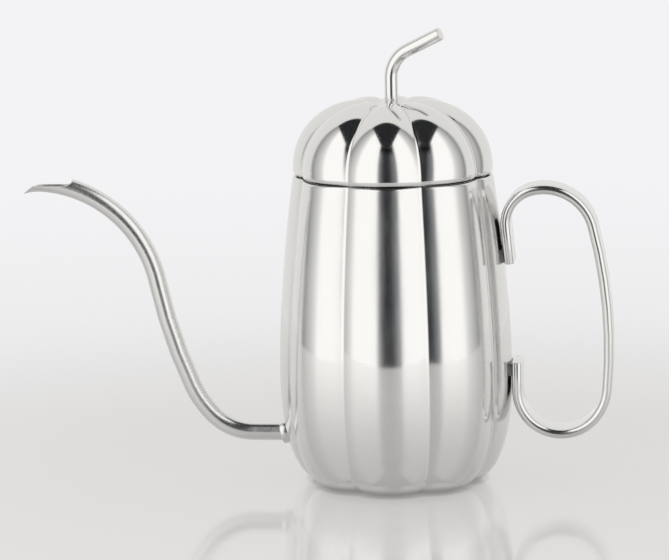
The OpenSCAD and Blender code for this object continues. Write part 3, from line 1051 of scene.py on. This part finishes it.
# %% [markdown]
# A polished object has no colour of its own: it is a picture of the room. The room here
# is a white studio with large soft panels left and right, which are dimmer far round to
# the sides. Between them is the dark gap where the camera stands, and overhead the gap
# opens into a dark strip. All of it is painted on the world by direction, so it needs no
# lamps and casts only soft shadows. A Color Ramp holds the levels round the room: it is
# a list of stops, and the light goes evenly from each stop to the next.

# %% Levels round the room
gap_azimuth = -86
# (degrees from the middle of the gap, level): across the gap, then round the panels
gap_levels = [(-23, 1.22), (-17, 0.3), (-12, 0.14), (-8, 0.06), (-3, 0.03), (6, 0.04),
              (12, 0.16), (19, 0.26), (21, 0.34), (26, 1.22)]
panel_levels = [(68, 1.22), (76, 0.87), (84, 0.7), (90, 0.6), (99, 0.45), (103, 0.3),
                (107, 0.45), (112, 0.87)]
brightest = 1.25


def follow(tree, value, stops):
    """A level that goes from stop to stop as the value grows."""
    low, high = stops[0][0], stops[-1][0]
    ramp = add_node(tree, "ValToRGB", {"Fac": stretch(tree, value, (low, high))})
    elements = ramp.color_ramp.elements
    for place, level in stops[1:-1]:
        elements.new((place - low) / (high - low))
    for element, (place, level) in zip(elements, stops):
        element.color = (*[level / brightest] * 3, 1)
    return work_out(tree, "MULTIPLY", ramp.outputs["Color"], brightest)


# %% [markdown]
# The dark strip overhead is easiest to draw on a ceiling: a direction meets a ceiling one
# unit up at its front part and its side part, each divided by its height. There the
# strip is a plain shape with two straight ends, narrower to the front.

# %% Strip overhead
# its soft back edge and its front edge
strip_back, strip_front = (-0.21, -0.15), 0.95
# its half width straight above, how fast that narrows to the front and how far it does
strip_half_w, strip_narrows, strip_narrows_to = 0.47, -0.27, 0.9
strip_soft, strip_level = 0.02, 0.02


def strip_overhead(tree, front, side, up):
    """1 inside the dark strip on the ceiling, 0 elsewhere."""
    height = work_out(tree, "MAXIMUM", up, 0.001)
    ahead = work_out(tree, "DIVIDE", front, height)
    narrowed = work_out(tree, "MINIMUM", ahead, strip_narrows_to)
    half_w = work_out(tree, "MULTIPLY_ADD", narrowed, strip_narrows, strip_half_w)
    aside = work_out(tree, "ABSOLUTE", work_out(tree, "DIVIDE", side, height))
    beside = work_out(tree, "SUBTRACT", aside, half_w)
    within = work_out(tree, "SUBTRACT", 1, ease(tree, beside, (-strip_soft, strip_soft)))
    strip = work_out(tree, "MULTIPLY", ease(tree, ahead, strip_back), within)
    return work_out(tree, "MULTIPLY", strip, work_out(tree, "LESS_THAN", ahead, strip_front))


# %% [markdown]
# Now the parts come together. A direction is turned to the gap, which gives its front
# part, its side part and its angle from the middle of the gap. Gap and panels give the
# walls, the lower level of the two, and the strip is laid over them.

# %% Light of the studio
# between these elevations the gap turns plain: dark right up to its edges, which lie
# this many degrees from its middle
high_from, high_edge = (30, 45), (18, 21)


def studio_light(tree, x, y, z, elevation):
    """The level of light from a direction."""
    gap_x, gap_y = cos(radians(gap_azimuth)), sin(radians(gap_azimuth))
    front = work_out(tree, "MULTIPLY_ADD", x, gap_x, work_out(tree, "MULTIPLY", y, gap_y))
    side = work_out(tree, "MULTIPLY_ADD", x, -gap_y, work_out(tree, "MULTIPLY", y, gap_x))
    turn = work_out(tree, "MULTIPLY", work_out(tree, "ARCTAN2", side, front), 180 / pi)
    away = work_out(tree, "ABSOLUTE", turn)
    gap = follow(tree, turn, gap_levels)
    plain_gap = work_out(tree, "MULTIPLY", ease(tree, away, high_edge), brightest)
    high_gap = work_out(tree, "MINIMUM", gap, plain_gap)
    gap = blend(tree, ease(tree, elevation, high_from), gap, high_gap)
    walls = work_out(tree, "MINIMUM", gap, follow(tree, away, panel_levels))
    return blend(tree, strip_overhead(tree, front, side, z), walls, strip_level)


# %% [markdown]
# Reflections see that studio, its panels a little warmer than its unlit parts. Direct
# views see a plain pale backdrop that is darker near the floor, and matt surfaces see
# one even light. The Light Path node tells the three apart.

# %% Studio
backdrop_ends = (-14.5, -8)
backdrop_low, backdrop_high = (0.775, 0.77, 0.77), (0.896, 0.892, 0.91)
unlit_tint, panel_tint, tint_ends = (0.94, 0.985, 1.06), (1.0, 0.995, 0.98), (0, 0.5)


def add_studio():
    """The world: one picture for reflections, one for direct views."""
    world = bpy.data.worlds.new("studio")
    bpy.context.scene.world = world
    world.use_nodes = True
    tree = world.node_tree
    tree.nodes.clear()
    direction = add_node(tree, "TexCoord").outputs["Generated"]
    x, y, z = add_node(tree, "SeparateXYZ", {"Vector": direction}).outputs
    elevation = work_out(tree, "MULTIPLY", work_out(tree, "ARCSINE", z), 180 / pi)
    light = studio_light(tree, x, y, z, elevation)
    tint = blend(tree, ease(tree, light, tint_ends), (*unlit_tint, 1), (*panel_tint, 1), "RGBA")
    backdrop = blend(tree, ease(tree, elevation, backdrop_ends),
                     (*backdrop_low, 1), (*backdrop_high, 1), "RGBA")
    even = add_node(tree, "Background", {"Color": (1, 1, 1, 1), "Strength": 1.0})
    mirrored = add_node(tree, "Background", {"Color": tint, "Strength": light})
    seen = add_node(tree, "Background", {"Color": backdrop})
    rays = add_node(tree, "LightPath").outputs
    indirect = add_node(tree, "MixShader", {
        0: rays["Is Glossy Ray"], 1: even.outputs["Background"],
        2: mirrored.outputs["Background"],
    })
    whole = add_node(tree, "MixShader", {
        0: rays["Is Camera Ray"], 1: indirect.outputs["Shader"], 2: seen.outputs["Background"],
    })
    add_node(tree, "OutputWorld", {"Surface": whole.outputs["Shader"]})
    return world


studio = add_studio()
bpy.context.scene.view_settings.view_transform = "Standard"
print("studio of", len(studio.node_tree.nodes), "nodes")
